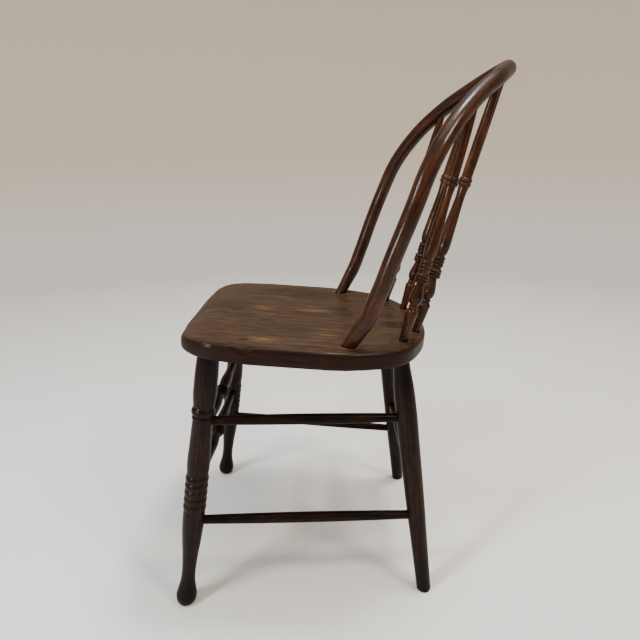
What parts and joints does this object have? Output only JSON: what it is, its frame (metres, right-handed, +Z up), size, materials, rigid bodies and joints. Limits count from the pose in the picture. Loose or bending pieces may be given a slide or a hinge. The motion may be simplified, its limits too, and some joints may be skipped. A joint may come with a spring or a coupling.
{
  "type": "dining chair",
  "caption": "Hoop-back wooden kitchen chair: saddled plank seat, bent bow with turned spindles, splayed turned legs and stretchers.",
  "frame": {"origin": "on the floor, below the middle of the whole chair", "axes": "+Z up; the sitter looks along -Y; +X is the sitter's left"},
  "size_m": [0.4048, 0.5382, 0.8373],
  "materials": {
    "seat_wood": "satin worn stain and varnish",
    "bow_wood": "glossy varnish over a reddish brown stain",
    "wedge_wood": "bare sawn end grain",
    "spindle_wood": "glossy varnish over a reddish brown stain",
    "leg_wood": "dark worn stain and varnish",
    "stretcher_wood": "dark worn stain and varnish"
  },
  "bodies": {
    "root": {"bow": "bow_wood", "bow_wedges": "wedge_wood", "front_leg_left": "leg_wood", "front_leg_right": "leg_wood", "front_stretcher_lower": "stretcher_wood", "front_stretcher_upper": "stretcher_wood", "rear_leg_left": "leg_wood", "rear_leg_right": "leg_wood", "rear_stretcher": "stretcher_wood", "seat": "seat_wood", "side_stretcher_lower_left": "stretcher_wood", "side_stretcher_lower_right": "stretcher_wood", "side_stretcher_upper_left": "stretcher_wood", "side_stretcher_upper_right": "stretcher_wood", "spindle_1": "spindle_wood", "spindle_2": "spindle_wood", "spindle_3": "spindle_wood", "spindle_4": "spindle_wood", "spindle_5": "spindle_wood"}
  },
  "joints": []
}
